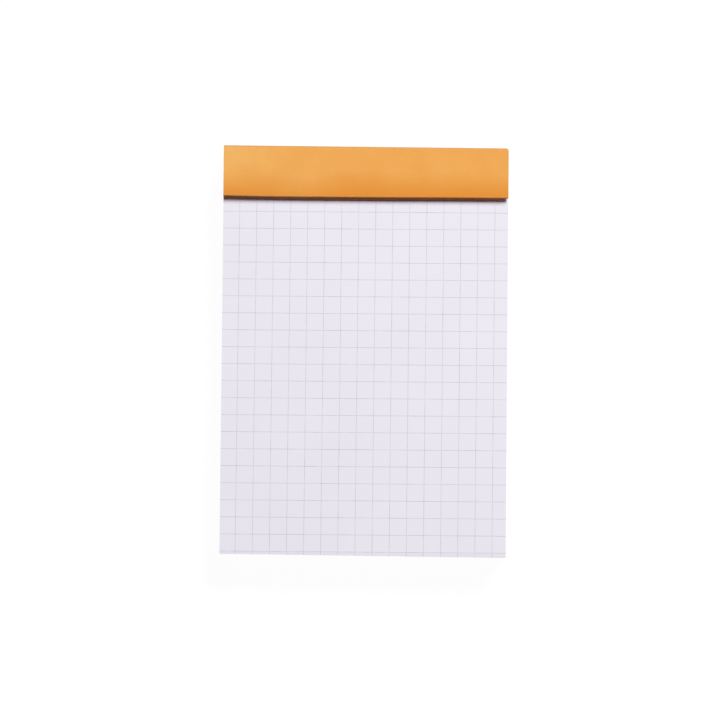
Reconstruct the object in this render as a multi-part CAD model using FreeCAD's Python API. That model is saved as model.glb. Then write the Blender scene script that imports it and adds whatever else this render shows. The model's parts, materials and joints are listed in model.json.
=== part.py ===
import FreeCAD, Part
import math
import os

# A small writing pad, bound with two staples at its head and lying on its back, with its
# card cover turned right round the head and laid flat behind it.
#
# The pad lies in the XY plane with +Z up. The head, where the sheets are bound, faces +Y
# and the foot faces -Y. The origin is on the table, under the middle of the whole pad.
#
# From the table up, the pieces are: the cover's free flap, the cover's back panel, a stiff
# board, the ruled sheets, the cover's head band and the flap's first stretch folded back
# over that band. Two wire staples hold everything between the band and the back panel.

# Driving sizes, in millimetres.

# Ruled sheets.
sheet_width = 83.7
sheet_length = 119.3
sheet_thickness = 0.1
sheet_count = 80

# Stiff board behind the sheets.
board_thickness = 1.0

# Cover, a single folded sheet of card.
card_thickness = 0.35
band_length = 15.8  # from the outside of the head to the outside of the folded edge
turn_radius = 0.3  # inside radius where each layer of the card turns round the head
crease_radius = 0.05  # inside radius of the folded edge
fold_slope = 48.0  # steepness of the card from the folded edge up to the upper layer, in degrees
shoulder_radius = 0.15  # inside radius where that slope runs out into the upper layer
head_slack = 0.2  # air between the two layers of card at the head
flap_clearance = 0.05  # air above the flap's hinge edge, and under the staples' tails

# Staples, bent from flat wire.
wire_thickness = 0.5
wire_width = 0.7
wire_bend_radius = 0.25  # inside the bends
wire_clearance = 0.05  # air round the wire in its holes
crown_length = 13.0  # between the middles of the two legs
crown_sink = 0.1  # how deep the crown is pressed into the head band
crown_clearance = 0.2  # air between the crown and the card folded over it
tail_length = 4.0  # straight part of each clenched tail
tail_stand = 0.2  # how far the tails stand out from the back panel
staple_pitch = 42.0  # between the middles of the two staples
staple_inset = 7.2  # from the sheets' head edge to the middle of the wire

# Levels above the table.
flap_top = card_thickness
flap_middle = card_thickness / 2
tail_middle = flap_top + flap_clearance + wire_thickness / 2
back_bottom = flap_top + flap_clearance + tail_stand
back_middle = back_bottom + card_thickness / 2
board_bottom = back_bottom + card_thickness
sheets_bottom = board_bottom + board_thickness
sheets_top = sheets_bottom + sheet_count * sheet_thickness
band_middle = sheets_top + card_thickness / 2
band_top = sheets_top + card_thickness
crown_middle = band_top - crown_sink + wire_thickness / 2
fold_bottom = crown_middle + wire_thickness / 2 + crown_clearance
fold_middle = fold_bottom + card_thickness / 2

# The card's two layers at the head, from the sheets to the middle of each. The outer one goes
# round the inner one and turns as tightly.
head_turn = turn_radius + card_thickness / 2
inner_layer = head_turn
outer_layer = inner_layer + card_thickness + head_slack
head_overhang = outer_layer + card_thickness / 2

# Places along the pad.
pad_length = sheet_length + head_overhang
foot_y = -pad_length / 2
sheets_head_y = foot_y + sheet_length
hinge_y = sheets_head_y + outer_layer
folded_edge_y = pad_length / 2 - band_length
staple_y = sheets_head_y - staple_inset
staple_places = {"staple_left": -staple_pitch / 2, "staple_right": staple_pitch / 2}

# The folded edge lies on the first sheet, creased tight. From there the card slopes up, over
# the height of the staples' crowns, into the layer folded over them.
crease = crease_radius + card_thickness / 2
shoulder = shoulder_radius + card_thickness / 2
slope = math.radians(fold_slope)
rise_in_turns = crease * (1 + math.cos(slope)) + shoulder * (1 - math.cos(slope))
slope_length = (fold_middle - band_middle - rise_in_turns) / math.sin(slope)
fold_start_y = folded_edge_y + card_thickness / 2 + crease


class BentStrip:
    """A strip seen from its edge and bent in straight runs and round turns in the XZ plane.

    Its middle line starts at a point and heads along +X. Left is the side of +Z at the start.
    """

    def __init__(self, x, z, thickness):
        self.x = x
        self.z = z
        self.thickness = thickness
        self.heading = 0.0
        self.length = 0.0
        self.left_edges = []
        self.right_edges = []
        self.start = self.faces()

    def faces(self):
        """The points on the left and right faces, abreast of the middle line's end."""
        across = FreeCAD.Vector(-math.sin(self.heading), 0, math.cos(self.heading))
        middle = FreeCAD.Vector(self.x, 0, self.z)
        return middle + across * (self.thickness / 2), middle - across * (self.thickness / 2)

    def run(self, length):
        """Goes straight on for a length."""
        left, right = self.faces()
        self.x += length * math.cos(self.heading)
        self.z += length * math.sin(self.heading)
        self.length += length
        new_left, new_right = self.faces()
        self.left_edges.append(Part.LineSegment(left, new_left).toShape())
        self.right_edges.append(Part.LineSegment(right, new_right).toShape())

    def turn(self, degrees, radius):
        """Turns left, or right if the angle is negative, on a radius of the middle line."""
        way = math.copysign(1, degrees)
        centre_x = self.x - way * radius * math.sin(self.heading)
        centre_z = self.z + way * radius * math.cos(self.heading)
        stations = [self.faces()]
        for _ in range(2):
            self.heading += math.radians(degrees) / 2
            self.x = centre_x + way * radius * math.sin(self.heading)
            self.z = centre_z - way * radius * math.cos(self.heading)
            stations.append(self.faces())
        self.length += abs(math.radians(degrees)) * radius
        left_points, right_points = zip(*stations)
        self.left_edges.append(Part.Arc(*left_points).toShape())
        self.right_edges.append(Part.Arc(*right_points).toShape())

    def solid(self, width):
        """Closes the outline and draws it out to a width, the same to both sides along Y."""
        left, right = self.faces()
        first_end = Part.LineSegment(self.start[1], self.start[0]).toShape()
        last_end = Part.LineSegment(left, right).toShape()
        right_edges = list(reversed(self.right_edges))
        outline = Part.Wire([first_end] + self.left_edges + [last_end] + right_edges)
        strip = Part.Face(outline).extrude(FreeCAD.Vector(0, width, 0))
        strip.translate(FreeCAD.Vector(0, -width / 2, 0))
        return strip


def along_pad(strip):
    """The strip turned so that what ran along X runs up the pad, along Y."""
    origin = FreeCAD.Vector(0, 0, 0)
    up = FreeCAD.Vector(0, 0, 1)
    return strip.rotate(origin, up, 90)


def slab(bottom, top):
    """A flat slab of the sheets' outline between two levels."""
    corner = FreeCAD.Vector(-sheet_width / 2, foot_y, bottom)
    return Part.makeBox(sheet_width, sheet_length, top - bottom, corner)


def staple(middle_x, clearance=0.0):
    """A clenched staple, or the room for one with clearance all round the wire."""
    bend = wire_bend_radius + wire_thickness / 2
    leg_length = crown_middle - tail_middle - 2 * bend
    tip_x = crown_length / 2 - bend - tail_length
    wire = BentStrip(middle_x + tip_x - clearance, tail_middle, wire_thickness + 2 * clearance)
    wire.run(tail_length + clearance)
    wire.turn(90, bend)
    wire.run(leg_length)
    wire.turn(90, bend)
    wire.run(crown_length - 2 * bend)
    wire.turn(90, bend)
    wire.run(leg_length)
    wire.turn(90, bend)
    wire.run(tail_length + clearance)
    solid = wire.solid(wire_width + 2 * clearance)
    solid.translate(FreeCAD.Vector(0, staple_y, 0))
    return solid


def stapled(piece):
    """The piece with the holes and grooves that the staples leave in it."""
    for middle_x in staple_places.values():
        piece = piece.cut(staple(middle_x, wire_clearance))
    return piece


def sheet_block():
    """All the ruled sheets, squared up into one block."""
    return stapled(slab(sheets_bottom, sheets_top))


def backing_board():
    """The stiff board under the last sheet."""
    return stapled(slab(board_bottom, sheets_bottom))


def wrapped_card():
    """The card as it wraps the pad: back panel, inner head and head band, up to the fold."""
    card = BentStrip(foot_y, back_middle, card_thickness)
    card.run(sheet_length)
    card.turn(90, head_turn)
    card.run(band_middle - back_middle - 2 * head_turn)
    card.turn(90, head_turn)
    card.run(sheets_head_y - fold_start_y)
    return card


def fold_over(card):
    """Folds the card back over the band and down the outside of the head to the hinge."""
    card.turn(fold_slope - 180, crease)
    card.run(slope_length)
    card.turn(-fold_slope, shoulder)
    card.run(hinge_y - head_turn - card.x)
    card.turn(-90, head_turn)
    card.run(fold_middle - head_turn - flap_top - flap_clearance)


def cover_flap(folded_length):
    """The free flap, flat under the pad, with a round hinge edge at the last crease."""
    front_panel_length = folded_edge_y - foot_y
    flap_length = front_panel_length - folded_length
    card = BentStrip(hinge_y - flap_length, flap_middle, card_thickness)
    card.run(flap_length)
    flap = along_pad(card.solid(sheet_width))
    edge_end = FreeCAD.Vector(-sheet_width / 2, hinge_y, flap_middle)
    across = FreeCAD.Vector(1, 0, 0)
    hinge_edge = Part.makeCylinder(card_thickness / 2, sheet_width, edge_end, across)
    return flap.fuse(hinge_edge).removeSplitter()


card = wrapped_card()
wrapped_length = card.length
fold_over(card)

parts = {
    "sheet_block": sheet_block(),
    "backing_board": backing_board(),
    "cover": stapled(along_pad(card.solid(sheet_width))),
    "cover_flap": cover_flap(card.length - wrapped_length),
}
for name, middle_x in staple_places.items():
    parts[name] = staple(middle_x)

os.makedirs("parts", exist_ok=True)
for name, shape in parts.items():
    shape.exportStep(f"parts/{name}.step")
    box = shape.optimalBoundingBox(False)
    print(
        f"{name}: valid {shape.isValid()}, solids {len(shape.Solids)}, volume {shape.Volume:.3f}, "
        f"X {box.XMin:.3f} to {box.XMax:.3f}, Y {box.YMin:.3f} to {box.YMax:.3f}, "
        f"Z {box.ZMin:.3f} to {box.ZMax:.3f}"
    )
print(f"hinge line: y {hinge_y:.4f}, z {flap_middle:.4f}")
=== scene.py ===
# %% [markdown]
# # A small stapled pad of squared paper
#
# The pad lies on its back. Eighty sheets and a stiff board are held at the head by two wire
# staples. The orange card cover is folded up over the staples, turned round the head and
# laid flat behind the pad, so that only a band of its matt inside shows in front.
#
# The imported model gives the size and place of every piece. This script dresses it: each piece
# gets the form and the finish of the real material, and stays where the model has it.

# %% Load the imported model
import json
import math
import random

import bmesh
import bpy
from mathutils import Matrix, Vector


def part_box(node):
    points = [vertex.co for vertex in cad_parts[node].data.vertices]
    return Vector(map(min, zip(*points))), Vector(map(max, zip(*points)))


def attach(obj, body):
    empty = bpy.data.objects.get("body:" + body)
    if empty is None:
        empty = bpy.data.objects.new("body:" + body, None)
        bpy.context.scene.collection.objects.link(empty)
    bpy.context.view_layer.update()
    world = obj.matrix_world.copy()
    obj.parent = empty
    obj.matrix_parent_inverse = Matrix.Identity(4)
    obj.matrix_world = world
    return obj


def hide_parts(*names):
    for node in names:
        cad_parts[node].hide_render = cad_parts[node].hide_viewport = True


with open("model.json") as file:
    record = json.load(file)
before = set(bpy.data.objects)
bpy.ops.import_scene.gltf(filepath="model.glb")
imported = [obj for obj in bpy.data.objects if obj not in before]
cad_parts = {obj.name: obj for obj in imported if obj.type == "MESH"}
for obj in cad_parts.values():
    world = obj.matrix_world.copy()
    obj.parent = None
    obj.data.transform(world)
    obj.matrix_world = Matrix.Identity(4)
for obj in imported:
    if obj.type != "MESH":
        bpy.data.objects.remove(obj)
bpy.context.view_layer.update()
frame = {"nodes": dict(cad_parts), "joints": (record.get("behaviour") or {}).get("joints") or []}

MM = 0.001
X_AXIS = Vector((1, 0, 0))
Y_AXIS = Vector((0, 1, 0))

# %% [markdown]
# Everything is measured from the model once, and named. The cover's folded edge is the
# lowest place along Y that its card reaches above the sheets.

# %% Measure the pad
sheet_low, sheet_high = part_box("sheet_block")
board_low, board_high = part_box("backing_board")
_, cover_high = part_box("cover")
flap_low, flap_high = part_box("cover_flap")

half_width = sheet_high.x
width = 2 * half_width
foot_y = sheet_low.y
sheets_head_y = sheet_high.y
half_length = -foot_y
paper_top = sheet_high.z
card = flap_high.z - flap_low.z
hinge = Vector(frame["joints"][0]["pos_m"])

card_points = [vertex.co for vertex in frame["nodes"]["cover"].data.vertices]
folded_edge_y = min(point.y for point in card_points if point.z > paper_top + card / 2)

sheet_count = 80
sheet_thickness = (sheet_high.z - sheet_low.z) / sheet_count
print(f"pad {width / MM:.1f} mm wide, band down to y {folded_edge_y / MM:.2f} mm, card {card / MM:.2f} mm")

# %% [markdown]
# Most pieces here start as a bmesh: a small mesh in memory that operators can extrude, cut
# and bend. The same few lines turn each one into an object, ride it on its body and hide the
# imported nodes that it replaces. Edges that fold sharply are marked, so that smooth shading
# doesn't blur them.


# %% Turn a mesh into a piece of the pad
def finish_piece(bm, name, body, materials, replaced=(), sharp_degrees=35):
    """Makes an object of a bmesh, shades it, rides it on a body and hides the imported nodes it replaces.
    """
    bmesh.ops.recalc_face_normals(bm, faces=bm.faces)
    for face in bm.faces:
        face.smooth = True
    for edge in bm.edges:
        edge.smooth = edge.calc_face_angle(0) < math.radians(sharp_degrees)
    mesh = bpy.data.meshes.new(name)
    bm.to_mesh(mesh)
    bm.free()
    for material in materials:
        mesh.materials.append(material)
    piece = bpy.data.objects.new(name, mesh)
    bpy.context.scene.collection.objects.link(piece)
    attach(piece, body)
    if replaced:
        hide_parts(*replaced)
    print(f"{name}: {len(mesh.vertices)} points, {len(mesh.polygons)} faces")


# %% [markdown]
# ## Finishes
#
# Materials are built from nodes, so two helpers come first: one joins sockets and one adds a
# node with its values. A Mix node keeps a pair of sockets for each kind of value under the
# same two names, so the ones for plain values and for colours are taken by their places.

# %% Helpers for nodes
VALUE_A, VALUE_B = 2, 3
COLOUR_A, COLOUR_B = 6, 7
VALUE_OUT, COLOUR_OUT = 0, 2


def link(tree, source, target):
    """Joins two sockets."""
    tree.links.new(source, target)


def add_node(tree, kind, **values):
    """Adds a node and sets its properties, and its inputs where the name starts with a capital."""
    node = tree.nodes.new(kind)
    for name, value in values.items():
        if name[0].isupper():
            node.inputs[name.replace("_", " ")].default_value = value
        else:
            setattr(node, name, value)
    return node


def mix_colours(tree, share, first, second):
    """A mix of two colours. Each is given as a colour, or as the socket that puts one out."""
    blend = add_node(tree, "ShaderNodeMix", data_type="RGBA")
    link(tree, share, blend.inputs["Factor"])
    for place, colour in ((COLOUR_A, first), (COLOUR_B, second)):
        if isinstance(colour, bpy.types.NodeSocket):
            link(tree, colour, blend.inputs[place])
        else:
            blend.inputs[place].default_value = colour
    return blend.outputs[COLOUR_OUT]


def tint_over(material, mask, colour):
    """Lays one more colour over a material's own, where a mask is 1."""
    tree = material.node_tree
    base = tree.nodes["Principled BSDF"].inputs["Base Color"]
    under = base.links[0].from_socket
    link(tree, mix_colours(tree, mask, under, colour), base)


# %% [markdown]
# Paper, card and board are all pressed fibres, so one node group makes the soft mottle and the
# tiny hills of the fibres for all of them. It only puts out values; each material keeps its
# own shader and chooses how much of each value to use.

# %% The fibre group that paper, card and board share
FIBRE_HEIGHT = 0.7


def make_fibre_group():
    """Mottle, a soft cloudiness; Fibre, short fine hairs; Height, the hills that they make."""
    group = bpy.data.node_groups.new("pressed_fibres", "ShaderNodeTree")
    for name, default in (("Cloud Scale", 90.0), ("Fibre Scale", 1800.0)):
        socket = group.interface.new_socket(name, in_out="INPUT", socket_type="NodeSocketFloat")
        socket.default_value = default
    for name in ("Mottle", "Fibre", "Height"):
        group.interface.new_socket(name, in_out="OUTPUT", socket_type="NodeSocketFloat")
    inputs = group.nodes.new("NodeGroupInput")
    outputs = group.nodes.new("NodeGroupOutput")
    place = group.nodes.new("ShaderNodeTexCoord")
    cloud = add_node(group, "ShaderNodeTexNoise", Detail=4.0, Roughness=0.55)
    fibre = add_node(group, "ShaderNodeTexNoise", Detail=5.0, Roughness=0.7, Distortion=1.6)
    hills = add_node(group, "ShaderNodeMath", operation="MULTIPLY_ADD")
    hills.inputs[1].default_value = FIBRE_HEIGHT
    for noise, scale in ((cloud, "Cloud Scale"), (fibre, "Fibre Scale")):
        link(group, place.outputs["Object"], noise.inputs["Vector"])
        link(group, inputs.outputs[scale], noise.inputs["Scale"])
    link(group, fibre.outputs["Fac"], hills.inputs[0])
    link(group, cloud.outputs["Fac"], hills.inputs[2])
    link(group, cloud.outputs["Fac"], outputs.inputs["Mottle"])
    link(group, fibre.outputs["Fac"], outputs.inputs["Fibre"])
    link(group, hills.outputs[0], outputs.inputs["Height"])
    return group


fibre_group = make_fibre_group()
print("node group:", fibre_group.name)

# %% [markdown]
# Colours are easiest to judge as a screen shows them, from 0 to 255, while shaders work with
# the light itself. The standard screen curve turns one into the other: straight for the
# darkest tones and a power above them.

# %% Colours as a screen shows them
SCREEN_WHITE = 255
DARKEST = 0.04045
DARK_SLOPE = 12.92
CURVE_SHIFT = 0.055
CURVE_POWER = 2.4


def linear(red, green, blue):
    """A colour as seen on a screen, from 0 to 255, as the linear colour that shaders use."""
    channels = []
    for channel in (red, green, blue):
        value = channel / SCREEN_WHITE
        if value <= DARKEST:
            channels.append(value / DARK_SLOPE)
        else:
            channels.append(((value + CURVE_SHIFT) / (1 + CURVE_SHIFT)) ** CURVE_POWER)
    return (*channels, 1.0)


print("half bright on a screen:", [round(channel, 3) for channel in linear(128, 128, 128)])

# %% [markdown]
# Every matt finish here is made the same way: its colour drifts between two close tones, partly
# with the soft mottle and partly with the fine fibres, and the same fibres raise the surface
# a little. A noise hardly ever leaves the middle of its range, so the ramp is set to that.

# %% A material made of pressed fibres
NOISE_LOW = 0.3
NOISE_HIGH = 0.7
FIBRE_RELIEF = 0.02 * MM


def tone_between(tree, noise, dark, light):
    """A colour that goes from dark to light with a noise."""
    ramp = add_node(tree, "ShaderNodeMapRange", From_Min=NOISE_LOW, From_Max=NOISE_HIGH)
    link(tree, noise, ramp.inputs["Value"])
    return mix_colours(tree, ramp.outputs["Result"], dark, light)


def fibre_material(
    name, dark, light, cloud_scale, fibre_scale, roughness, bump, specular=0.5, grain=0.45
):
    """A matt material whose colour drifts between two tones, with fibres in its colour and bump.

    Grain is the fibres' share in the colour, against the mottle's.
    """
    material = bpy.data.materials.new(name)
    material.use_nodes = True
    tree = material.node_tree
    shader = tree.nodes["Principled BSDF"]
    fibres = add_node(
        tree, "ShaderNodeGroup", node_tree=fibre_group, Cloud_Scale=cloud_scale, Fibre_Scale=fibre_scale
    )
    tone = add_node(tree, "ShaderNodeMix", data_type="FLOAT", Factor=grain)
    link(tree, fibres.outputs["Mottle"], tone.inputs[VALUE_A])
    link(tree, fibres.outputs["Fibre"], tone.inputs[VALUE_B])
    colour = tone_between(tree, tone.outputs[VALUE_OUT], dark, light)
    hills = add_node(tree, "ShaderNodeBump", Strength=bump, Distance=FIBRE_RELIEF)
    link(tree, fibres.outputs["Height"], hills.inputs["Height"])
    link(tree, colour, shader.inputs["Base Color"])
    link(tree, hills.outputs["Normal"], shader.inputs["Normal"])
    shader.inputs["Roughness"].default_value = roughness
    shader.inputs["Specular IOR Level"].default_value = specular
    return material


# %% [markdown]
# The sheets are smooth writing paper, nearly white with a cool violet cast. The cut sides of
# the stack show the edge of every sheet, and cut fibres look rougher and a little greyer.

# %% Paper
paper_white = fibre_material(
    "paper_white",
    dark=linear(236, 233, 243),
    light=linear(240, 237, 246),
    cloud_scale=60.0,
    fibre_scale=2500.0,
    roughness=0.8,
    bump=0.25,
    specular=0.3,
)
paper_edge = fibre_material(
    "paper_cut_edge",
    dark=linear(220, 219, 225),
    light=linear(236, 235, 240),
    cloud_scale=150.0,
    fibre_scale=4000.0,
    roughness=0.9,
    bump=0.3,
    specular=0.2,
)
print("paper:", paper_white.name, paper_edge.name)

# %% [markdown]
# In a cut stack some sheets are darker than others. A noise that is stretched along the sheets
# and squeezed in Z gives each layer a tone of its own, with no picture to unwrap.

# %% Layers of different tone
LAYER_PATCHES = 18.0
LAYER_TONE_FROM = 0.5
LAYER_TONE_FULL = 0.75
TONED_LAYER = 1.6 * sheet_thickness


def add_layer_tones(material, layer, colour, strength):
    """Darkens some layers of a stack more than others."""
    tree = material.node_tree
    place = tree.nodes.new("ShaderNodeTexCoord")
    squeeze = add_node(tree, "ShaderNodeMapping", Scale=(LAYER_PATCHES, LAYER_PATCHES, 1 / layer))
    tones = add_node(tree, "ShaderNodeTexNoise", Scale=1.0, Detail=3.0, Roughness=0.7)
    mask = add_node(
        tree, "ShaderNodeMapRange", From_Min=LAYER_TONE_FROM, From_Max=LAYER_TONE_FULL, To_Max=strength
    )
    link(tree, place.outputs["Object"], squeeze.inputs["Vector"])
    link(tree, squeeze.outputs["Vector"], tones.inputs["Vector"])
    link(tree, tones.outputs["Fac"], mask.inputs["Value"])
    tint_over(material, mask.outputs["Result"], colour)


add_layer_tones(paper_edge, layer=TONED_LAYER, colour=linear(186, 185, 192), strength=0.8)
print(f"a toned layer is {TONED_LAYER / MM:.2f} mm deep")

# %% [markdown]
# A narrow strip of the first sheet right beside the fold is tinted: painted shade under the
# folded edge, warmed by a painted orange reflection from the card. Two smooth steps on the
# object's own coordinates, multiplied, give a narrow strip that fades out before the right edge,
# where the fold's corner stands clear of the paper.

# %% Painted shade and reflection beside the fold
FOLD_TINT_REACH = 1.6 * MM
FOLD_TINT_CLEAR = 1.2 * MM
FOLD_TINT_FULL = 3 * FOLD_TINT_CLEAR


def tint_shade_beside_fold(material):
    """A faint painted shade along the folded edge, warmed by a painted orange reflection from the card."""
    tree = material.node_tree
    place = tree.nodes.new("ShaderNodeTexCoord")
    axes = tree.nodes.new("ShaderNodeSeparateXYZ")
    both = add_node(tree, "ShaderNodeMath", operation="MULTIPLY")
    link(tree, place.outputs["Object"], axes.inputs["Vector"])
    beside = ("Y", folded_edge_y - FOLD_TINT_REACH, folded_edge_y)
    inward = ("X", half_width - FOLD_TINT_CLEAR, half_width - FOLD_TINT_FULL)
    for factor, (axis, start, full) in zip(both.inputs, (beside, inward)):
        step = add_node(
            tree, "ShaderNodeMapRange", interpolation_type="SMOOTHSTEP", From_Min=start, From_Max=full
        )
        link(tree, axes.outputs[axis], step.inputs["Value"])
        link(tree, step.outputs["Result"], factor)
    # The tint is the paper in painted shade, warmed by a painted reflection of the orange card.
    tint_over(material, both.outputs["Value"], linear(232, 206, 220))


tint_shade_beside_fold(paper_white)
print(f"painted_tint reaches {FOLD_TINT_REACH / MM:.1f} mm down from the fold")

# %% [markdown]
# The ruling is printed in a pale violet-grey ink. A print hides the fibres under it and is
# stronger in some places than in others, so its tone drifts with the mottle alone.

# %% Ruling ink
ruling_ink = fibre_material(
    "ruling_ink",
    dark=linear(188, 185, 200),
    light=linear(221, 218, 228),
    cloud_scale=190.0,
    fibre_scale=4000.0,
    roughness=0.8,
    bump=0.05,
    specular=0.3,
    grain=0.0,
)
print("ink:", ruling_ink.name)

# %% [markdown]
# The card is dyed orange right through. Its inside is matt and a little paler, its outside is
# lightly coated and stronger in colour, and where it was cut the pulp shows paler still.
#
# Each mark follows a value that the mesh carries at its points. The first is painted shade that
# deepens the orange towards the fold, and the second is painted shade on the steep slope of the
# fold itself. The third, crease, is 1 on the bends, where the surface breaks and is rubbed paler;
# on the fold's shoulder that pale line is also a painted highlight. The last is painted shade on
# the head's outside, which tones down the light that falls there. A mesh without one of them
# reads it as 0.


# %% Card
def mesh_value(tree, name):
    """A value that the mesh carries at each of its points."""
    return add_node(tree, "ShaderNodeAttribute", attribute_name=name).outputs["Fac"]


def card_material(name, band_shade_colour, fold_slope_shade_colour, head_shade_colour, crease_wear_and_highlight, **finish):
    """Dyed card with painted shade deepening towards the fold and on the fold's slope, pale on rubbed
    creases (a painted highlight on the fold's shoulder), and painted shade on the head's outside.
    """
    material = fibre_material(name, cloud_scale=110.0, fibre_scale=1500.0, **finish)
    tree = material.node_tree
    # Painted shade: the orange deepens towards the fold, where the card turns from the light.
    tint_over(material, mesh_value(tree, "shade_near_fold"), band_shade_colour)
    # Painted shade on the fold's steep slope, which faces away from the light.
    tint_over(material, mesh_value(tree, "shade_in_fold"), fold_slope_shade_colour)
    place = tree.nodes.new("ShaderNodeTexCoord")
    breaks = add_node(tree, "ShaderNodeTexNoise", Scale=900.0, Detail=3.0)
    patchy = add_node(tree, "ShaderNodeMath", operation="MULTIPLY")
    link(tree, place.outputs["Object"], breaks.inputs["Vector"])
    link(tree, mesh_value(tree, "crease"), patchy.inputs[0])
    link(tree, breaks.outputs["Fac"], patchy.inputs[1])
    # The bends are rubbed paler; on the fold's shoulder this pale line is also a painted highlight.
    tint_over(material, patchy.outputs["Value"], crease_wear_and_highlight)
    # Painted shade on the head's outside, which dims the strong light falling there.
    tint_over(material, mesh_value(tree, "shaded_head"), head_shade_colour)
    return material


card_inside = card_material(
    "card_matt_inside",
    dark=linear(238, 172, 88),
    light=linear(249, 189, 106),
    # The last four colours are painted shade towards the fold, painted shade on the fold's slope, painted
    # shade on the head's outside, and the paler rubbed crease, which on the fold's shoulder is also a
    # painted highlight.
    band_shade_colour=linear(234, 139, 28),
    fold_slope_shade_colour=linear(198, 112, 62),
    head_shade_colour=linear(178, 126, 66),
    crease_wear_and_highlight=linear(240, 182, 118),
    roughness=0.75,
    bump=0.6,
    specular=0.25,
)
card_outside = card_material(
    "card_coated_outside",
    dark=linear(228, 128, 34),
    light=linear(233, 136, 40),
    band_shade_colour=linear(230, 128, 30),
    fold_slope_shade_colour=linear(198, 112, 62),
    head_shade_colour=linear(178, 104, 40),
    crease_wear_and_highlight=linear(238, 168, 96),
    roughness=0.38,
    bump=0.12,
    specular=0.5,
)
card_core = fibre_material(
    "card_cut_edge",
    dark=linear(222, 146, 76),
    light=linear(236, 168, 100),
    cloud_scale=400.0,
    fibre_scale=5000.0,
    roughness=0.85,
    bump=0.4,
)
card_finishes = [card_inside, card_outside, card_core]
print("card:", [material.name for material in card_finishes])

# %% [markdown]
# Grey board is pulped waste paper: brownish grey, rough at the cut, with darker and paler
# layers in it.

# %% Grey board
BOARD_LAYER = 0.35 * MM

grey_board = fibre_material(
    "grey_board",
    dark=linear(133, 125, 114),
    light=linear(164, 156, 144),
    cloud_scale=500.0,
    fibre_scale=2600.0,
    roughness=0.9,
    bump=0.6,
    specular=0.2,
)
add_layer_tones(grey_board, layer=BOARD_LAYER, colour=linear(112, 104, 95), strength=0.6)
print("board:", grey_board.name)

# %% [markdown]
# The staples are plain drawn steel wire. Drawing leaves fine scratches along the wire, and a
# noise gives them when it is squeezed in Y, across the wire.

# %% Steel wire
SCRATCHES = (300.0, 9000.0, 300.0)
WIRE_BRIGHT = 0.22
WIRE_DULL = 0.45


def wire_material():
    """Drawn steel wire: bright metal with fine scratches along it."""
    material = bpy.data.materials.new("drawn_wire")
    material.use_nodes = True
    tree = material.node_tree
    shader = tree.nodes["Principled BSDF"]
    shader.inputs["Metallic"].default_value = 1.0
    place = tree.nodes.new("ShaderNodeTexCoord")
    stretch = add_node(tree, "ShaderNodeMapping", Scale=SCRATCHES)
    noise = add_node(tree, "ShaderNodeTexNoise", Scale=1.0, Detail=3.0)
    dull = add_node(tree, "ShaderNodeMapRange", To_Min=WIRE_BRIGHT, To_Max=WIRE_DULL)
    link(tree, place.outputs["Object"], stretch.inputs["Vector"])
    link(tree, stretch.outputs["Vector"], noise.inputs["Vector"])
    link(tree, noise.outputs["Fac"], dull.inputs["Value"])
    link(tree, dull.outputs["Result"], shader.inputs["Roughness"])
    colour = tone_between(tree, noise.outputs["Fac"], linear(168, 168, 170), linear(206, 206, 206))
    link(tree, colour, shader.inputs["Base Color"])
    return material


staple_steel = wire_material()
print("wire:", staple_steel.name)

# %% [markdown]
# ## Wear and the knife
#
# No pad is quite square. The foot and the head were trimmed slightly askew, the right side
# tapers a hair towards the foot, and the head's right corner is rubbed round. The same small
# functions say so for every layer, so that sheets, board and card stay flush. Two more give
# soft starts and gentle waves wherever a shape needs them.

# %% How far each edge lies in
FOOT_SKEW = 0.46 * MM
HEAD_SKEW = 0.30 * MM
SIDE_TAPER = 0.10 * MM
HEAD_RUB = 0.7 * MM
HEAD_RUB_DEPTH = 7.5 * MM


def smooth_step(value, low, high):
    """Goes smoothly from 0 to 1 while a value goes from low to high."""
    share = min(max((value - low) / (high - low), 0.0), 1.0)
    return share * share * (3 - 2 * share)


def wave(place, pace, start):
    """A gentle wave along an axis, from -1 to 1."""
    return math.sin(place * pace + start)


def foot_trim(x):
    """How far the trimmed foot lies inside the model's foot, at a place across the pad."""
    return FOOT_SKEW * (half_width - x) / width


def head_trim(x):
    """The same for the head, which is a little lower on the right."""
    return HEAD_SKEW * (half_width + x) / width


def side_trim(x, y):
    """How far the right side is trimmed in, at a place along the pad: a little more at the foot."""
    return SIDE_TAPER * max(-y / half_length, 0.0) if x > 0 else 0.0


def corner_rub(x, z):
    """How far the head's right corner is rubbed back: rounded at the top, and less further down."""
    past = max(x - (half_width - HEAD_RUB), 0.0)
    rounding = HEAD_RUB - math.sqrt(max(HEAD_RUB**2 - past**2, 0.0))
    return rounding * (1 - smooth_step(cover_high.z - z, 0.0, HEAD_RUB_DEPTH))


print(f"at the left the pad is {foot_trim(-half_width) / MM:.2f} mm shorter at its foot")

# %% [markdown]
# ## The stack of sheets
#
# Seventy-nine sheets lie under the top one. A knife trims a real pad, so its sides are flat,
# yet each sheet ends a hair further in or out and a fine gap parts it from the next. A box is
# cut level by level and each level is moved a little, which keeps the stack one closed mesh.
# Each sheet has three levels: the gap under it, and the two ends of its own straight side.

# %% Stack of sheets
EDGE_JITTER = 0.02 * MM
GAP_DEPTH = 0.04 * MM
GAP_SHARE = 0.12
SHEET_LEVELS = (0.0, GAP_SHARE, 1 - GAP_SHARE)
LEVELS_EACH = len(SHEET_LEVELS)
LEAN = 0.03 * MM
EDGE_STATIONS = 12
ON_SIDE = 0.49
WAVES_ALONG = 5
WAVES_ACROSS = 4
FLAT = 0.9

draw = random.Random(8)


def cut_through(bm, point, across):
    """Cuts a mesh wherever a plane meets it. The plane is square to a direction."""
    geometry = bm.verts[:] + bm.edges[:] + bm.faces[:]
    bmesh.ops.bisect_plane(bm, geom=geometry, plane_co=point, plane_no=across)


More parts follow.
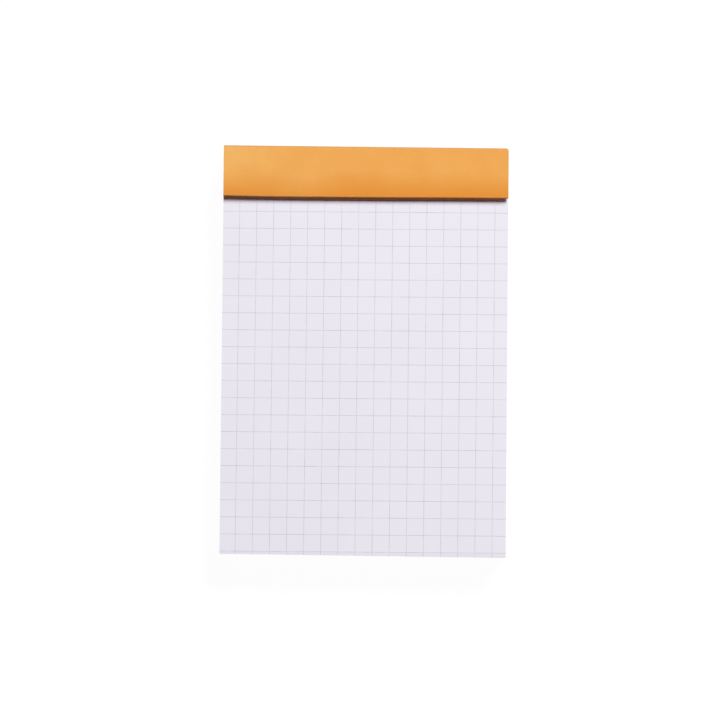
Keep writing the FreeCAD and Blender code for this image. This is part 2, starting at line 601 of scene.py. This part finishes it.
def place_in_stack(point, shifts):
    """Where a point of the finely cut unit cube goes in the stack."""
    layers = len(shifts) - 1
    sheet, level = divmod(round((point.z + 0.5) * LEVELS_EACH * layers), LEVELS_EACH)
    height = min((sheet + SHEET_LEVELS[level]) * sheet_thickness, layers * sheet_thickness)
    inset = GAP_DEPTH if level == 0 and 0 < sheet < layers else 0.0
    shift_x, shift_y, start = shifts[sheet]
    side_x = (point.x > ON_SIDE) - (point.x < -ON_SIDE)
    side_y = (point.y > ON_SIDE) - (point.y < -ON_SIDE)
    wave_x = EDGE_JITTER * (shift_x + wave(point.y, WAVES_ALONG, start))
    wave_y = EDGE_JITTER * (shift_y + wave(point.x, WAVES_ACROSS, start))
    y = foot_y + (point.y + 0.5) * (sheets_head_y - foot_y)
    x = point.x * width - side_x * (inset + 2 * EDGE_JITTER) + abs(side_x) * wave_x
    x -= abs(side_x) * side_trim(x, y)
    y += abs(side_y) * wave_y - side_y * (inset + 2 * EDGE_JITTER)
    if side_y < 0:
        y += foot_trim(x) + LEAN * height / (layers * sheet_thickness)
    elif side_y > 0:
        y -= head_trim(x) + corner_rub(x, sheet_low.z + height)
    return Vector((x, y, sheet_low.z + height))


def make_sheets():
    """All the sheets under the top one, as one closed mesh with a ridge for every sheet."""
    layers = sheet_count - 1
    bm = bmesh.new()
    bmesh.ops.create_cube(bm, size=1.0)
    upright = [edge for edge in bm.edges if abs(edge.verts[0].co.z - edge.verts[1].co.z) > 0.5]
    bmesh.ops.subdivide_edges(bm, edges=upright, cuts=LEVELS_EACH * layers - 1, use_grid_fill=True)
    for axis in (X_AXIS, Y_AXIS):
        for station in range(1, EDGE_STATIONS):
            cut_through(bm, axis * (station / EDGE_STATIONS - 0.5), axis)
    shifts = []
    for _ in range(layers + 1):
        shifts.append((draw.uniform(-1, 1), draw.uniform(-1, 1), draw.uniform(0, math.tau)))
    for vertex in bm.verts:
        vertex.co = place_in_stack(vertex.co, shifts)
    for face in bm.faces:
        face.normal_update()
        face.material_index = 0 if abs(face.normal.z) > FLAT else 1
    return bm


finish_piece(
    make_sheets(),
    "sheets",
    "pad",
    [paper_white, paper_edge],
    replaced=["sheet_block"],
    sharp_degrees=25,
)

# %% [markdown]
# ## The ruling
#
# The squares are ruled 5 mm apart, and the print sits a touch askew on the sheet, as it does
# on most pads. A line on a picture-sized texture would blur, so the ruling is cut into the
# sheet's own mesh: planes slice it along both edges of every line.

# %% Where the lines lie
UPRIGHT_PITCH = 5.0 * MM
LEVEL_PITCH = 4.985 * MM
LINE_WIDTH = 0.13 * MM
UPRIGHT_LINES = 16
LEVEL_LINES = 21
FIRST_CROSSING = Vector((-37.02 * MM, 40.78 * MM, 0.0))
UPRIGHT_TURN = math.radians(-0.145)
LEVEL_TURN = math.radians(0.025)

across_uprights = Matrix.Rotation(UPRIGHT_TURN, 3, "Z") @ X_AXIS
across_levels = Matrix.Rotation(LEVEL_TURN, 3, "Z") @ -Y_AXIS
RULING = ((across_uprights, UPRIGHT_PITCH, UPRIGHT_LINES), (across_levels, LEVEL_PITCH, LEVEL_LINES))


def line_planes():
    """A point and a direction for each edge of every ruled line."""
    for across, pitch, count in RULING:
        for index in range(count):
            for side in (-0.5, 0.5):
                yield FIRST_CROSSING + across * (index * pitch + side * LINE_WIDTH), across


def on_a_line(point):
    """Whether a point of the sheet lies on a ruled line."""
    for across, pitch, count in RULING:
        reach = (point - FIRST_CROSSING).dot(across)
        index = round(reach / pitch)
        if 0 <= index < count and abs(reach - index * pitch) < LINE_WIDTH / 2:
            return True
    return False


print(f"{UPRIGHT_LINES} upright and {LEVEL_LINES} level lines, {len(list(line_planes()))} cuts")

# %% [markdown]
# ## The top sheet
#
# The top sheet is a thin box. It is very slightly wavy below the band that holds it, and
# the knife pressed it down along the foot, so one more cut runs where that dip starts.

# %% Top sheet
SHEET_WAVE = 0.03 * MM
WAVE_ACROSS = (55, 0.6)
WAVE_ALONG = (38, 1.1)
HELD_REACH = 20 * MM
EDGE_DIP = 0.03 * MM
EDGE_DIP_REACH = 0.9 * MM


def sheet_height(x, y):
    """The top sheet's surface: slightly wavy, and pressed down where the knife left the foot."""
    waviness = SHEET_WAVE * (wave(x, *WAVE_ACROSS) * wave(y, *WAVE_ALONG) - 1) / 2
    from_band = min(max((folded_edge_y - y) / HELD_REACH, 0.0), 1.0)
    from_foot = y - foot_y - foot_trim(x) - LEAN
    dip = EDGE_DIP * min(max(1 - from_foot / EDGE_DIP_REACH, 0.0), 1.0) ** 2
    return paper_top + waviness * from_band - dip


def make_top_sheet():
    """The top sheet, cut along both edges of every ruled line."""
    bm = bmesh.new()
    bmesh.ops.create_cube(bm, size=1.0)
    for vertex in bm.verts:
        x = vertex.co.x * width
        z = paper_top if vertex.co.z > 0 else paper_top - sheet_thickness
        head_y = sheets_head_y - head_trim(x) - corner_rub(x, z)
        y = foot_y + foot_trim(x) + LEAN if vertex.co.y < 0 else head_y
        vertex.co = Vector((x - side_trim(x, y), y, z))
    for point, across in line_planes():
        cut_through(bm, point, across)
    dip_start = Vector((0, foot_y + foot_trim(0) + LEAN + EDGE_DIP_REACH, 0))
    cut_through(bm, dip_start, Vector((FOOT_SKEW / width, 1, 0)).normalized())
    for vertex in bm.verts:
        if vertex.co.z > paper_top - sheet_thickness / 2:
            vertex.co.z = sheet_height(vertex.co.x, vertex.co.y)
    bm.normal_update()
    return bm


top_sheet_mesh = make_top_sheet()
for face in top_sheet_mesh.faces:
    face.material_index = 0 if abs(face.normal.z) > FLAT else 1
finish_piece(top_sheet_mesh, "top_sheet", "pad", [paper_white, paper_edge])

# %% [markdown]
# The narrow faces between the cuts are the printed lines. A second copy of the sheet keeps only
# those and is raised by a film's thickness, which makes the ink a real, thin piece that lies
# exactly on the paper.

# %% Ruled lines
INK_FILM = 0.004 * MM


def make_ruling():
    """The ink of all the ruled lines, one thin connected film that lies on the top sheet."""
    bm = make_top_sheet()
    blank = [face for face in bm.faces if face.normal.z < FLAT or not on_a_line(face.calc_center_median())]
    bmesh.ops.delete(bm, geom=blank, context="FACES")
    film = bmesh.ops.extrude_face_region(bm, geom=bm.faces[:])
    raised = [item for item in film["geom"] if isinstance(item, bmesh.types.BMVert)]
    bmesh.ops.translate(bm, verts=raised, vec=Vector((0, 0, INK_FILM)))
    return bm


finish_piece(make_ruling(), "ruling", "pad", [ruling_ink])

# %% [markdown]
# ## The board
#
# The stiff board is cut with the same knife. Its edges are slightly crushed, so they are
# bevelled, and cuts along its sides let each stretch bulge by a different hair.

# %% Backing board
BOARD_EDGE = 0.12 * MM
BOARD_FUZZ = 0.03 * MM
BOARD_STATIONS = 30


def make_board():
    """A stiff board with crushed, slightly uneven edges."""
    bm = bmesh.new()
    bmesh.ops.create_cube(bm, size=1.0)
    for vertex in bm.verts:
        x = vertex.co.x * (width - 2 * BOARD_FUZZ)
        y = board_high.y - head_trim(x) - BOARD_FUZZ
        if vertex.co.y < 0:
            y = foot_y + foot_trim(x) + BOARD_FUZZ
        x -= side_trim(x, y)
        vertex.co = Vector((x, y, board_high.z if vertex.co.z > 0 else board_low.z))
    bmesh.ops.bevel(
        bm, geom=bm.edges[:], offset=BOARD_EDGE, segments=3, profile=0.5, affect="EDGES", material=-1
    )
    for axis, reach in ((X_AXIS, width), (Y_AXIS, board_high.y - board_low.y)):
        for station in range(1, BOARD_STATIONS):
            cut_through(bm, axis * reach * (station / BOARD_STATIONS - 0.5), axis)
    for vertex in bm.verts:
        if abs(vertex.co.x) > half_width - 2 * BOARD_FUZZ:
            vertex.co.x += math.copysign(draw.uniform(0, BOARD_FUZZ), vertex.co.x)
        if vertex.co.y < foot_y + foot_trim(vertex.co.x) + 2 * BOARD_FUZZ:
            vertex.co.y -= draw.uniform(0, BOARD_FUZZ)
    return bm


finish_piece(make_board(), "board", "pad", [grey_board], replaced=["backing_board"])

# %% [markdown]
# ## The card cover
#
# Seen from its edge, folded card is a line with a thickness that runs straight and turns. A
# small helper walks along that line and notes stations. The strip between two stations is one
# face of the cut edge, and drawing these faces out across the pad makes the card. Each point
# remembers which face of the card it is on, because inside and outside look different.
# The faces' edges go into each extrusion too, or a wall would be left inside the card.

# %% Walk along bent card or wire
INSIDE, OUTSIDE = 1, 2
TIP_FLAT = 0.3
TIP_CREASE = 0.5


class BentStrip:
    """Stations along the middle of a strip, each with its place, heading, half thickness and crease."""

    def __init__(self, along, up, thickness, heading=0.0):
        self.along = along
        self.up = up
        self.half = thickness / 2
        self.heading = heading
        self.stations = []
        self.note(0.0, self.half)

    def note(self, crease, half):
        """Notes a station where the walk stands."""
        self.stations.append((self.along, self.up, self.heading, half, crease))

    def run(self, length, steps=1):
        """Goes straight on."""
        for _ in range(steps):
            self.along += length / steps * math.cos(self.heading)
            self.up += length / steps * math.sin(self.heading)
            self.note(0.0, self.half)

    def turn(self, degrees, radius, steps=6, crease=1.0):
        """Turns left, or right if negative. The crease is strongest in the middle of the turn."""
        way = math.copysign(1, degrees)
        centre_along = self.along - way * radius * math.sin(self.heading)
        centre_up = self.up + way * radius * math.cos(self.heading)
        for step in range(1, steps + 1):
            self.heading += math.radians(degrees) / steps
            self.along = centre_along + way * radius * math.sin(self.heading)
            self.up = centre_up - way * radius * math.cos(self.heading)
            self.note(crease * math.sin(math.pi * step / (steps + 1)), self.half)

    def round_end(self, steps=5):
        """Ends the strip with a half round instead of a flat cut. Its tip keeps a tiny flat."""
        along, up = self.along, self.up
        for step in range(1, steps + 1):
            angle = math.pi / 2 * step / (steps + TIP_FLAT)
            self.along = along + self.half * math.sin(angle) * math.cos(self.heading)
            self.up = up + self.half * math.sin(angle) * math.sin(self.heading)
            self.note(TIP_CREASE, self.half * math.cos(angle))

    def solid(self, strip_width, steps, across, along_axis):
        """Draws the strip out across its width, in as many steps, as a closed mesh."""
        bm = bmesh.new()
        face_of = bm.verts.layers.int.new("card_face")
        crease_of = bm.verts.layers.float.new("crease")
        start = across * (-strip_width / 2)
        rows = []
        for along, up, heading, half, crease in self.stations:
            pair = []
            for way, side in ((1, INSIDE), (-1, OUTSIDE)):
                place_along = along - way * half * math.sin(heading)
                place_up = up + way * half * math.cos(heading)
                vertex = bm.verts.new(start + along_axis * place_along + Vector((0, 0, place_up)))
                vertex[face_of] = side
                vertex[crease_of] = crease
                pair.append(vertex)
            rows.append(pair)
        region = []
        for (left, right), (next_left, next_right) in zip(rows, rows[1:]):
            region.append(bm.faces.new((left, right, next_right, next_left)))
        for _ in range(steps):
            border = {edge for face in region for edge in face.edges}
            grown = bmesh.ops.extrude_face_region(bm, geom=region + list(border))["geom"]
            region = [item for item in grown if isinstance(item, bmesh.types.BMFace)]
            moved = [item for item in grown if isinstance(item, bmesh.types.BMVert)]
            bmesh.ops.translate(bm, verts=moved, vec=across * (strip_width / steps))
        return bm


def paint_card_faces(bm, inside_slot, outside_slot, cut_slot):
    """Gives the card's inside, outside and cut edges their own materials."""
    slots = {(INSIDE,): inside_slot, (OUTSIDE,): outside_slot}
    face_of = bm.verts.layers.int["card_face"]
    for face in bm.faces:
        sides = {vertex[face_of] for vertex in face.verts}
        face.material_index = slots.get(tuple(sides), cut_slot)


# %% [markdown]
# The held part of the cover starts at the foot, behind the board, and goes up the back, round
# the head and over the first sheet. There it is creased sharply, lying on the paper. It comes
# back up a steep slope, over the height of the staples' crowns, and runs on over the band and
# down the outside of the head to the hinge. Seen from above, that slope is the thin dark line
# under the band.

# %% The held card seen from its edge
HEAD_SLACK = 0.2 * MM
CREASE_RADIUS = 0.05 * MM
FOLD_SLOPE = 48.0
SHOULDER_RADIUS = 0.15 * MM
LONG_STEP = 2.0 * MM

back_middle = board_low.z - card / 2
band_middle = paper_top + card / 2
fold_middle = cover_high.z - card / 2
head_turn = hinge.y - sheets_head_y - card - HEAD_SLACK


def cover_strip():
    """The edge view of the held card, from the foot up the back and over the head to the hinge."""
    crease = CREASE_RADIUS + card / 2
    shoulder = SHOULDER_RADIUS + card / 2
    slope = math.radians(FOLD_SLOPE)
    rise_in_turns = crease * (1 + math.cos(slope)) + shoulder * (1 - math.cos(slope))
    slope_run = (fold_middle - band_middle - rise_in_turns) / math.sin(slope)
    strip = BentStrip(foot_y, back_middle, card)
    strip.run(sheets_head_y - foot_y, steps=round((sheets_head_y - foot_y) / LONG_STEP))
    strip.turn(90, head_turn, crease=0.6)
    strip.run(band_middle - back_middle - 2 * head_turn, steps=6)
    strip.turn(90, head_turn, crease=0.6)
    strip.run(strip.along - folded_edge_y - card / 2 - crease, steps=8)
    strip.turn(FOLD_SLOPE - 180, crease, steps=10)
    strip.run(slope_run, steps=2)
    # The shoulder's strong crease also lays a pale painted highlight where the fold catches the light.
    strip.turn(-FOLD_SLOPE, shoulder, steps=6, crease=0.9)
    strip.run(hinge.y - head_turn - strip.along, steps=28)
    strip.turn(-90, head_turn, steps=8, crease=0.5)
    strip.run(strip.up - hinge.z, steps=6)
    return strip


held_card = cover_strip()
print(f"{len(held_card.stations)} stations, from the foot to z {held_card.up / MM:.3f} mm at the hinge")

# %% [markdown]
# On the band, painted shade deepens the orange towards the fold, where the drooping card turns
# away from the light and loses its sheen. It reaches further up on the right than on the left,
# with one paler patch. These tones belong to this piece and not to the card as such, so the mesh
# carries them and the card's material only reads them.

# %% Painted shade that the card carries
ABOVE_BAND = paper_top + 0.6 * card
# The band's painted shade: its reach up from the fold, wider on the right, its strength and fall-off, a
# floor on the right half, a ripple, and one paler patch.
TONE_REACH = 12.0 * MM
TONE_WIDENS = 0.28
TONE_DEPTH = 0.92
TONE_FALL = 1.5
TONE_RIGHT = 0.31
TONE_EVEN_FROM = -10.0 * MM
TONE_RIPPLE = 0.06
TONE_WAVES = ((75, 0.8), (190, 2.0))
PALE_PATCH = 0.22
PALE_PATCH_X = -19.0 * MM
PALE_PATCH_REACH = 9.0 * MM
# Painted shade on the fold's slope: full below the folded-over layer, gone just above its middle.
FOLD_SHADE_TOP = 0.1 * MM
FOLD_SHADE_FULL = 0.3 * MM
FOLD_SHADE_REACH = 3 * MM
# Painted shade on the head's outside, weaker further down the wall.
HEAD_SHADE_LEAD = 0.1 * MM
HEAD_SHADE_START = cover_high.y - head_turn - card / 2 - HEAD_SHADE_LEAD
HEAD_SHADE_BLEND = 0.5 * MM
HEAD_SHADE_FADE = 0.55
HEAD_SHADE_FADE_FROM = 0.5 * MM
HEAD_SHADE_FADE_TO = 2.5 * MM


def band_shade_depth(x, y):
    """How strong the band's painted shade is: slight at the head, strongest at the fold, and uneven."""
    to_right = smooth_step(x, -half_width, TONE_EVEN_FROM)
    reach = TONE_REACH * (1 + TONE_WIDENS * to_right)
    reach *= 1 + TONE_RIPPLE * sum(wave(x, *shape) for shape in TONE_WAVES)
    past_fold = (y - folded_edge_y) / reach
    paler = 1 - PALE_PATCH * math.exp(-(((x - PALE_PATCH_X) / PALE_PATCH_REACH) ** 2))
    return max(TONE_DEPTH * paler * max(1 - past_fold, 0.0) ** TONE_FALL, TONE_RIGHT * to_right)


def paint_tones(bm):
    """Writes the three painted shade values on the card's points: towards the fold, on its slope, and on
    the head's outside.
    """
    shade_near_fold = bm.verts.layers.float.new("shade_near_fold")
    shade_in_fold = bm.verts.layers.float.new("shade_in_fold")
    shaded_head = bm.verts.layers.float.new("shaded_head")
    for vertex in bm.verts:
        x, y, z = vertex.co
        # Painted shade on the head's outside.
        outside_head = smooth_step(y, HEAD_SHADE_START, HEAD_SHADE_START + HEAD_SHADE_BLEND)
        down_head = smooth_step(cover_high.z - z, HEAD_SHADE_FADE_FROM, HEAD_SHADE_FADE_TO)
        vertex[shaded_head] = outside_head * (1 - HEAD_SHADE_FADE * down_head)
        # Painted shade towards the fold, on the band's upper layer.
        if z > ABOVE_BAND:
            vertex[shade_near_fold] = band_shade_depth(x, y)
        # Painted shade on the fold's slope.
        if z > paper_top and y < folded_edge_y + FOLD_SHADE_REACH:
            vertex[shade_in_fold] = 1 - smooth_step(z, fold_middle - FOLD_SHADE_FULL, fold_middle + FOLD_SHADE_TOP)


for place, y in (("fold", folded_edge_y), ("head", sheets_head_y)):
    print(f"depth of tone at the {place}: {band_shade_depth(0.0, y):.2f}")

# %% [markdown]
# Real card doesn't lie as a drawing has it. The upper layer droops towards the fold and ripples
# a little. The fold is bowed, with its ends further up the pad, and its right corner is cut
# short. The head is trimmed and rubbed like the sheets, and pulled tight against them,
# except right at the hinge, which must stay on its line. Each shift is a function of the
# place in the drawn shape, so they add up without getting in each other's way.

# %% How the card gives
DROOP = 0.16
DROOP_START = sheets_head_y - 6.0 * MM
RIPPLE = 0.05
DROOP_WAVES = ((230, 1.3), (97, 4.0))
FOLD_BOW = 0.20 * MM
FOLD_SKEW = 0.05 * MM
FOLD_SHIFT_FROM = 0.4 * MM
FOLD_SHIFT_TO = 4 * MM
CORNER_RUB = 1.9 * MM
LEFT_LIFT = 0.88 * MM
LEFT_LIFT_FROM = 0.5
RIGHT_LIFT = 0.07 * MM
RIGHT_LIFT_TO = 0.6
HEAD_TIGHT = 0.08 * MM
HEAD_BLEND = 3 * MM
WALL_FULL = 3 * card
HINGE_CLEAR = 20 * card
FOOT_REACH = 1.0 * MM


def droop(x, y, z):
    """How far the folded-over layer hangs down towards the fold."""
    if z <= ABOVE_BAND or y >= sheets_head_y:
        return 0.0
    to_fold = max((DROOP_START - y) / (DROOP_START - folded_edge_y), 0.0) ** 2
    uneven = 1 + RIPPLE * sum(wave(x, *shape) for shape in DROOP_WAVES)
    return (z - band_middle) * DROOP * to_fold * uneven


def fold_shift(x, y, z):
    """How far up the pad the fold lies from a straight line: bowed, and cut at the right."""
    if z <= paper_top - card / 2:
        return 0.0
    across = x / half_width
    askew = FOLD_BOW * across**2 - FOLD_SKEW * across
    cut_corner = max(x - (half_width - CORNER_RUB), 0.0)
    lift = LEFT_LIFT * max(-across - LEFT_LIFT_FROM, 0.0) ** 2
    lift += RIGHT_LIFT * smooth_step(across, 0.0, RIGHT_LIFT_TO)
    at_crease = 1 - smooth_step(z, paper_top + card, fold_middle)
    at_fold = 1 - smooth_step(y, folded_edge_y + FOLD_SHIFT_FROM, folded_edge_y + FOLD_SHIFT_TO)
    return ((askew + cut_corner) * at_crease + lift) * at_fold


def head_shift(x, y, z):
    """How far the head lies in: trimmed, rubbed and pulled tight, but free at the hinge."""
    outer = smooth_step(y, sheets_head_y + card, sheets_head_y + WALL_FULL)
    above_hinge = smooth_step(z, hinge.z + card, hinge.z + HINGE_CLEAR)
    free = 1 - outer * (1 - above_hinge)
    at_head = smooth_step(y, sheets_head_y - HEAD_BLEND, sheets_head_y)
    return (head_trim(x) + corner_rub(x, z)) * at_head * free + HEAD_TIGHT * outer * above_hinge


def relax_cover(bm):
    """Moves the card's points from the drawn shape to the relaxed one."""
    for vertex in bm.verts:
        x, y, z = vertex.co
        at_foot = y < foot_y + FOOT_REACH and z < board_low.z + card
        vertex.co.y += fold_shift(x, y, z) - head_shift(x, y, z) + (foot_trim(x) if at_foot else 0.0)
        vertex.co.z -= droop(x, y, z)


print(f"the fold's middle droops by {droop(0, folded_edge_y, fold_middle) / MM:.2f} mm")

# %% [markdown]
# The card is drawn out in even steps. The corner at the right is smaller than a step, so a few
# more cuts are made there before the card is painted and relaxed.

# %% Cover, up to the hinge
ACROSS_STEPS = 84
CORNER_CUTS_MM = (0.1, 0.25, 0.45, 0.7, 1.3)

cover_mesh = held_card.solid(width, ACROSS_STEPS, X_AXIS, Y_AXIS)
for inset in CORNER_CUTS_MM:
    cut_through(cover_mesh, X_AXIS * (half_width - inset * MM), X_AXIS)
paint_card_faces(cover_mesh, inside_slot=0, outside_slot=1, cut_slot=2)
paint_tones(cover_mesh)
relax_cover(cover_mesh)
finish_piece(cover_mesh, "card_cover", "pad", card_finishes, replaced=["cover"])

# %% [markdown]
# The loose part of the cover lies behind the pad. Its hinge edge is a half round about the
# hinge line, and the card at the head ends on that same line, so the crease stays closed
# while the flap swings out from behind. Its two cut ends stop a hair short of the held card's,
# because faces that share a plane would flicker.

# %% Loose flap
FLAP_SHORT = 0.01 * MM


def flap_strip():
    """The edge view of the loose flap, from its free edge to its round hinge edge."""
    strip = BentStrip(flap_low.y, hinge.z, card)
    length = hinge.y - flap_low.y
    strip.run(length, steps=round(length / LONG_STEP))
    strip.round_end()
    return strip


flap_mesh = flap_strip().solid(width - 2 * FLAP_SHORT, ACROSS_STEPS // 2, X_AXIS, Y_AXIS)
paint_card_faces(flap_mesh, inside_slot=1, outside_slot=0, cut_slot=2)
finish_piece(flap_mesh, "card_flap", "flap", card_finishes, replaced=["cover_flap"])

# %% [markdown]
# ## The staples
#
# A staple is flat wire, five parts thick and seven wide, with softened edges. The same walk
# draws it: tail, leg, crown, leg and tail, and then the long edges are bevelled.

# %% Staples
WIRE_BEND = 0.25 * MM
WIRE_SHAPE = 5 / 7
WIRE_EDGE = 0.14 * MM
WIRE_EDGE_DEGREES = 60
TAIL = 4.0 * MM


def staple_strip(low, high, thickness):
    """The edge view of a clenched staple that fills the box between two corners."""
    bend = WIRE_BEND + thickness / 2
    leg = high.z - low.z - thickness - 2 * bend
    crown = high.x - low.x - thickness - 2 * bend
    tip = low.x + thickness / 2 + bend + TAIL
    wire = BentStrip(tip - (low.x + high.x) / 2, low.z + thickness / 2, thickness, heading=math.pi)
    for length in (TAIL, leg, crown, leg):
        wire.run(length)
        wire.turn(-90, bend)
    wire.run(TAIL)
    return wire


def make_staple(node):
    """A staple of flat wire with softened edges, where the model has it."""
    low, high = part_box(node)
    wire_width = high.y - low.y
    thickness = wire_width * WIRE_SHAPE
    bm = staple_strip(low, high, thickness).solid(wire_width, 1, Y_AXIS, X_AXIS)
    middle = Vector(((low.x + high.x) / 2, (low.y + high.y) / 2, 0))
    bmesh.ops.translate(bm, verts=bm.verts[:], vec=middle)
    bm.normal_update()
    sharp = math.radians(WIRE_EDGE_DEGREES)
    long_edges = [edge for edge in bm.edges if edge.calc_face_angle(0) > sharp]
    bmesh.ops.bevel(
        bm, geom=long_edges, offset=WIRE_EDGE, segments=3, profile=0.5, affect="EDGES", material=-1
    )
    finish_piece(bm, f"wire_{node}", "pad", [staple_steel], replaced=[node])


for node in ("staple_left", "staple_right"):
    make_staple(node)

# %% [markdown]
# ## Floor, light and camera
#
# The pad lies on a plain white ground that is lit so brightly that no shadow is left on it.
# A ground that glows by itself gives that without lighting the pad's face. It lies a hair
# under the loose flap, so that the two don't share a plane.

# %% Floor
FLOOR_SIZE = 6.0
FLOOR_TONE = (0.04, 0.04, 0.04, 1.0)
FLOOR_GLOW = 0.97
FLOOR_BELOW = 0.05 * MM
WHITE = (1.0, 1.0, 1.0, 1.0)


def make_floor():
    """A large plain white ground."""
    bm = bmesh.new()
    bmesh.ops.create_grid(bm, x_segments=1, y_segments=1, size=FLOOR_SIZE / 2)
    bmesh.ops.translate(bm, verts=bm.verts[:], vec=Vector((0, 0, -FLOOR_BELOW)))
    mesh = bpy.data.meshes.new("floor")
    bm.to_mesh(mesh)
    bm.free()
    material = bpy.data.materials.new("white_ground")
    material.use_nodes = True
    shader = material.node_tree.nodes["Principled BSDF"]
    shader.inputs["Base Color"].default_value = FLOOR_TONE
    shader.inputs["Roughness"].default_value = 0.9
    shader.inputs["Emission Color"].default_value = WHITE
    shader.inputs["Emission Strength"].default_value = FLOOR_GLOW
    mesh.materials.append(material)
    ground = bpy.data.objects.new("floor", mesh)
    bpy.context.scene.collection.objects.link(ground)
    print(f"{ground.name}: {FLOOR_SIZE:.0f} m wide, {FLOOR_BELOW / MM:.2f} mm under the flap")


make_floor()

# %% [markdown]
# The main light comes from beyond the head, to the right: it draws the thin dark line under
# the folded edge and makes the sheets a touch darker towards the foot. The surroundings give
# only a dim, even fill, but the camera itself sees them white, so that a low view has no dark
# strip above the ground. A light path node tells the two apart.

# %% Light
KEY_PLACE = Vector((1.24, 2.32, 1.76))
KEY_SIZE = 1.62
KEY_POWER = 166.5
FILL_STRENGTH = 0.08


def make_key():
    """One soft light beyond the head, to the right, that points at the pad."""
    lamp = bpy.data.lights.new("key", "AREA")
    lamp.shape = "DISK"
    lamp.size = KEY_SIZE
    lamp.energy = KEY_POWER
    key = bpy.data.objects.new("key", lamp)
    key.location = KEY_PLACE
    key.rotation_euler = (-KEY_PLACE).to_track_quat("-Z", "Y").to_euler()
    bpy.context.scene.collection.objects.link(key)


def make_surroundings():
    """A dim even fill from all round, that the camera sees as plain white."""
    world = bpy.data.worlds.new("studio")
    world.use_nodes = True
    tree = world.node_tree
    fill = tree.nodes["Background"]
    fill.inputs["Color"].default_value = WHITE
    fill.inputs["Strength"].default_value = FILL_STRENGTH
    seen = add_node(tree, "ShaderNodeBackground", Color=WHITE, Strength=1.0)
    ray = tree.nodes.new("ShaderNodeLightPath")
    choice = tree.nodes.new("ShaderNodeMixShader")
    link(tree, ray.outputs["Is Camera Ray"], choice.inputs[0])
    link(tree, fill.outputs["Background"], choice.inputs[1])
    link(tree, seen.outputs["Background"], choice.inputs[2])
    link(tree, choice.outputs["Shader"], tree.nodes["World Output"].inputs["Surface"])
    bpy.context.scene.world = world


make_key()
make_surroundings()
bpy.context.scene.view_settings.view_transform = "Standard"
print(f"key light {KEY_PLACE.length:.2f} m away, {KEY_POWER:.0f} W")

# %% [markdown]
# The photograph was taken from almost straight above, a little towards the foot. The camera's
# place, turn and lens were fitted to the ruled lines, whose spacing is known.

# %% Camera
CAMERA_PLACE = Vector((8.45, -52.98, 900.0)) * MM
CAMERA_TURN = (3.237, 0.597, 0.518)
CAMERA_LENS = 152.13
SENSOR_WIDTH = 36.0

lens = bpy.data.cameras.new("camera")
lens.lens = CAMERA_LENS
lens.sensor_width = SENSOR_WIDTH
camera = bpy.data.objects.new("camera", lens)
camera.location = CAMERA_PLACE
camera.rotation_euler = [math.radians(angle) for angle in CAMERA_TURN]
bpy.context.scene.collection.objects.link(camera)
bpy.context.scene.camera = camera
print("camera at", [round(value, 3) for value in camera.location])
